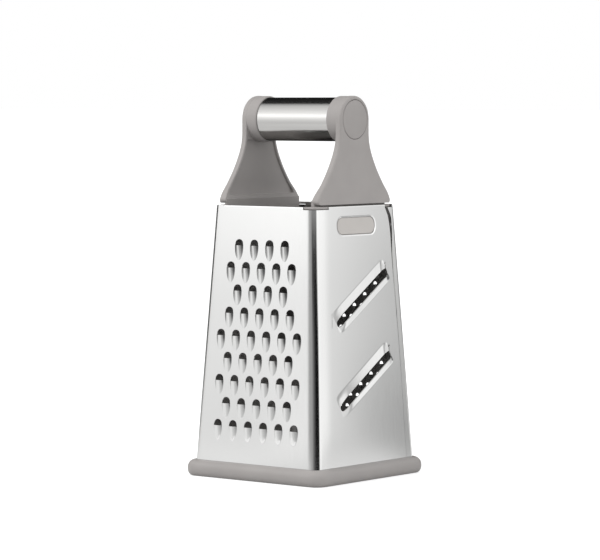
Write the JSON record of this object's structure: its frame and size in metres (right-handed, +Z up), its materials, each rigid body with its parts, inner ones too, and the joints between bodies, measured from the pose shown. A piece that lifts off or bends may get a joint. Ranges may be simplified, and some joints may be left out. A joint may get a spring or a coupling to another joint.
{
  "type": "box grater",
  "caption": "Four-sided tapered steel box grater with coarse, slicing, fine and rasp walls, a plastic base ring, and a steel tube grip between two moulded plastic brackets.",
  "frame": {"origin": "middle of the underside, on the surface that the grater stands on", "axes": "+Z up; -Y is the coarse wall, +X the slicing wall, +Y the fine wall, -X the rasp wall; the handle tube runs along X"},
  "size_m": [0.1094, 0.1094, 0.2355],
  "materials": {
    "body_steel": "satin",
    "tube_steel": "brushed",
    "grey_plastic": "matte",
    "plug_plastic": "matte",
    "screw_steel": "zinc plated"
  },
  "bodies": {
    "root": {"coarse_slicing_sheet": "body_steel", "fine_rasp_sheet": "body_steel", "base_ring": "grey_plastic", "handle_bracket_right": "grey_plastic", "handle_bracket_left": "grey_plastic", "grip_tube": "tube_steel", "tube_plug_right": "plug_plastic", "tube_plug_left": "plug_plastic", "handle_screws": "screw_steel", "end_cap_right": "grey_plastic", "end_cap_left": "grey_plastic"}
  },
  "joints": []
}
